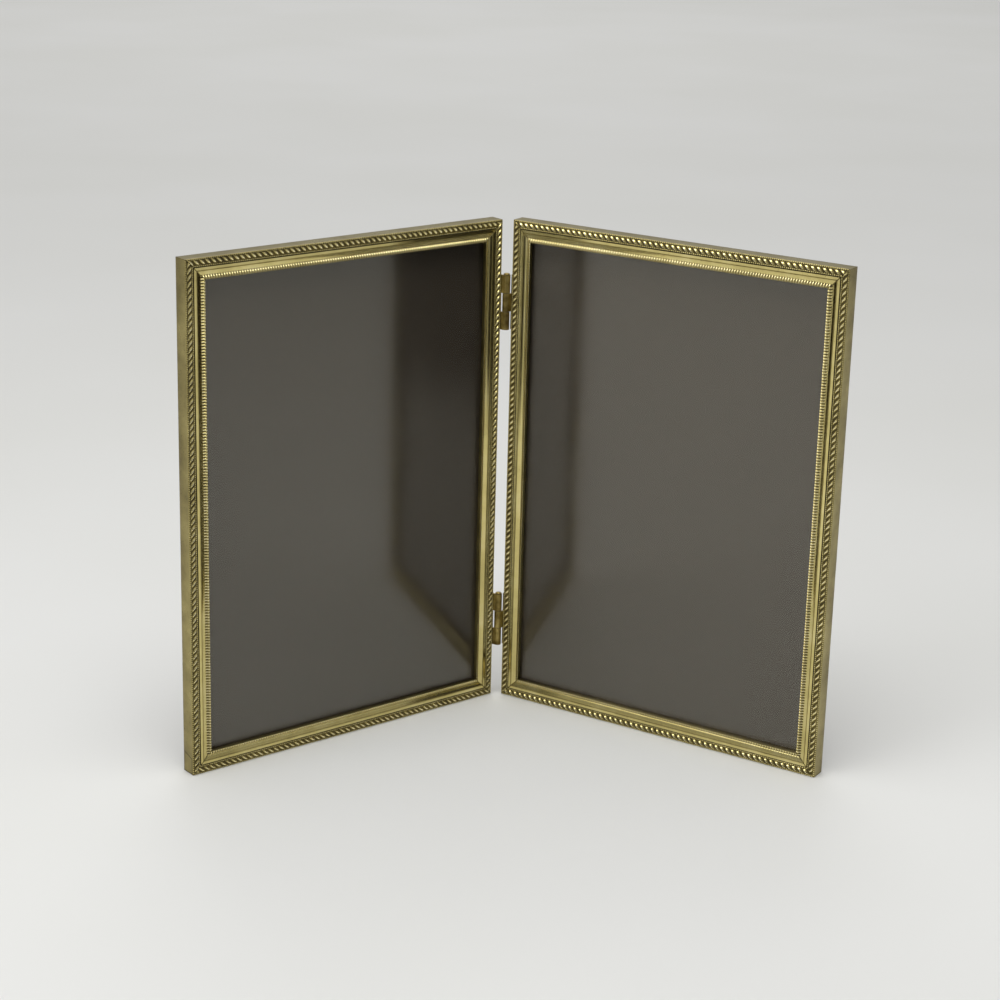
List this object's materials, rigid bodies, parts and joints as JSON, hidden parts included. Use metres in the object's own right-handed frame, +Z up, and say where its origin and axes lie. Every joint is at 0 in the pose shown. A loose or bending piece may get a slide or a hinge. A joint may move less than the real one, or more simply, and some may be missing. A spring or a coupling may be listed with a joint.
{
  "type": "hinged double photo frame",
  "caption": "Free-standing folding photo frame: glazed portrait panels in ornamented brass rims, joined by butt hinges and closed behind by boards held with turn tabs.",
  "frame": {"origin": "middle of the footprint, on the surface that the frame stands on", "axes": "+Z up, X across both panels, the faces towards -Y and the hinge axis at +Y"},
  "size_m": [0.2232, 0.0808, 0.1812],
  "materials": {
    "rim_brass": "aged, satin, embossed",
    "fitting_brass": "aged, dull",
    "tab_steel": "brass plated, satin",
    "glass": "polished",
    "insert_paper": "matt, dark brown",
    "flocked_board": "flock covered, matt"
  },
  "bodies": {
    "left_panel": {"left_bottom_rail": "rim_brass", "left_outer_stile": "rim_brass", "left_top_rail": "rim_brass", "left_inner_stile": "rim_brass", "left_lower_inner_angle": "fitting_brass", "left_lower_outer_angle": "fitting_brass", "left_upper_inner_angle": "fitting_brass", "left_upper_outer_angle": "fitting_brass", "left_glass": "glass", "left_insert_sheet": "insert_paper", "left_backing_board": "flocked_board", "left_turn_tab_rivets": "fitting_brass", "left_lower_hinge_leaf": "fitting_brass", "left_upper_hinge_leaf": "fitting_brass", "left_hinge_rivets": "fitting_brass", "lower_hinge_pin": "fitting_brass", "upper_hinge_pin": "fitting_brass"},
    "right_panel": {"right_bottom_rail": "rim_brass", "right_outer_stile": "rim_brass", "right_top_rail": "rim_brass", "right_inner_stile": "rim_brass", "right_lower_inner_angle": "fitting_brass", "right_lower_outer_angle": "fitting_brass", "right_upper_inner_angle": "fitting_brass", "right_upper_outer_angle": "fitting_brass", "right_glass": "glass", "right_insert_sheet": "insert_paper", "right_backing_board": "flocked_board", "right_turn_tab_rivets": "fitting_brass", "right_lower_hinge_leaf": "fitting_brass", "right_upper_hinge_leaf": "fitting_brass", "right_hinge_rivets": "fitting_brass"},
    "left_lower_outer_turn_tab": {"left_lower_outer_turn_tab": "tab_steel"},
    "left_upper_outer_turn_tab": {"left_upper_outer_turn_tab": "tab_steel"},
    "left_lower_inner_turn_tab": {"left_lower_inner_turn_tab": "tab_steel"},
    "left_upper_inner_turn_tab": {"left_upper_inner_turn_tab": "tab_steel"},
    "right_lower_outer_turn_tab": {"right_lower_outer_turn_tab": "tab_steel"},
    "right_upper_outer_turn_tab": {"right_upper_outer_turn_tab": "tab_steel"},
    "right_lower_inner_turn_tab": {"right_lower_inner_turn_tab": "tab_steel"},
    "right_upper_inner_turn_tab": {"right_upper_inner_turn_tab": "tab_steel"}
  },
  "joints": [
    {"name": "fold", "type": "hinge", "parent": "left_panel", "child": "right_panel", "pos_m": [0, 0.03544, 0], "axis": [0, 0, 1], "range_deg": [-109, 71]},
    {"name": "left_lower_outer_turn_tab_swivel", "type": "hinge", "parent": "left_panel", "child": "left_lower_outer_turn_tab", "pos_m": [-0.1044, -0.03122, 0.048], "axis": [-0.5807, 0.8141, 0], "continuous": true},
    {"name": "left_upper_outer_turn_tab_swivel", "type": "hinge", "parent": "left_panel", "child": "left_upper_outer_turn_tab", "pos_m": [-0.1044, -0.03122, 0.1332], "axis": [-0.5807, 0.8141, 0], "continuous": true},
    {"name": "left_lower_inner_turn_tab_swivel", "type": "hinge", "parent": "left_panel", "child": "left_lower_inner_turn_tab", "pos_m": [-0.01175, 0.03486, 0.048], "axis": [-0.5807, 0.8141, 0], "continuous": true},
    {"name": "left_upper_inner_turn_tab_swivel", "type": "hinge", "parent": "left_panel", "child": "left_upper_inner_turn_tab", "pos_m": [-0.01175, 0.03486, 0.1332], "axis": [-0.5807, 0.8141, 0], "continuous": true},
    {"name": "right_lower_outer_turn_tab_swivel", "type": "hinge", "parent": "right_panel", "child": "right_lower_outer_turn_tab", "pos_m": [0.1044, -0.03122, 0.048], "axis": [0.5807, 0.8141, 0], "continuous": true},
    {"name": "right_upper_outer_turn_tab_swivel", "type": "hinge", "parent": "right_panel", "child": "right_upper_outer_turn_tab", "pos_m": [0.1044, -0.03122, 0.1332], "axis": [0.5807, 0.8141, 0], "continuous": true},
    {"name": "right_lower_inner_turn_tab_swivel", "type": "hinge", "parent": "right_panel", "child": "right_lower_inner_turn_tab", "pos_m": [0.01175, 0.03486, 0.048], "axis": [0.5807, 0.8141, 0], "continuous": true},
    {"name": "right_upper_inner_turn_tab_swivel", "type": "hinge", "parent": "right_panel", "child": "right_upper_inner_turn_tab", "pos_m": [0.01175, 0.03486, 0.1332], "axis": [0.5807, 0.8141, 0], "continuous": true}
  ]
}
